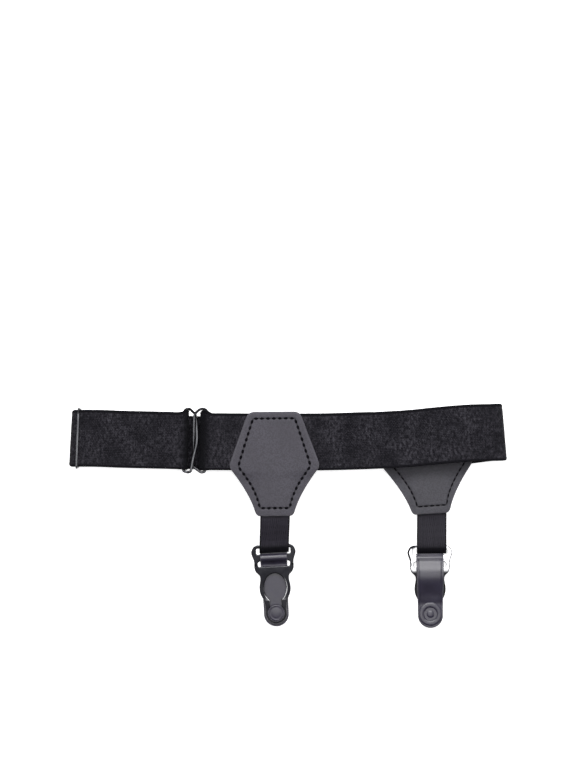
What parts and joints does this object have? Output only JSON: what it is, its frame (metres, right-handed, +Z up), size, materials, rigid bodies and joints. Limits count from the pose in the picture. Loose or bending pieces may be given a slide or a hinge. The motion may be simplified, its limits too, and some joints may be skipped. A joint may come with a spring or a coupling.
{
  "type": "sock suspender",
  "caption": "Elastic calf band with a slider and wire closure, stitched leather patches and short straps with buttoning stud clips, lying flat.",
  "frame": {"origin": "under the middle of the laid garter's box, on the surface that it lies on", "axes": "+X along the band towards the plain fold, +Y away from the clips, +Z up from the surface"},
  "size_m": [0.1956, 0.1003, 0.0099],
  "materials": {
    "webbing": "matt speckled black elastic",
    "wire": "bright black nickel",
    "leather": "fine grained charcoal",
    "satin_strap": "ribbed satin",
    "black_metal": "glossy black plating",
    "moulded_plastic": "satin moulded"
  },
  "bodies": {
    "root": {"band": "webbing", "slider": "wire", "band_hook": "wire", "band_ring": "wire", "front_patch_outer": "leather", "front_patch_inner": "leather", "back_patch_outer": "leather", "back_patch_inner": "leather", "front_strap": "satin_strap", "back_strap": "satin_strap", "front_clip_frame": "black_metal", "back_clip_frame": "black_metal", "front_clip_tongue": "moulded_plastic", "back_clip_tongue": "moulded_plastic"}
  },
  "joints": []
}
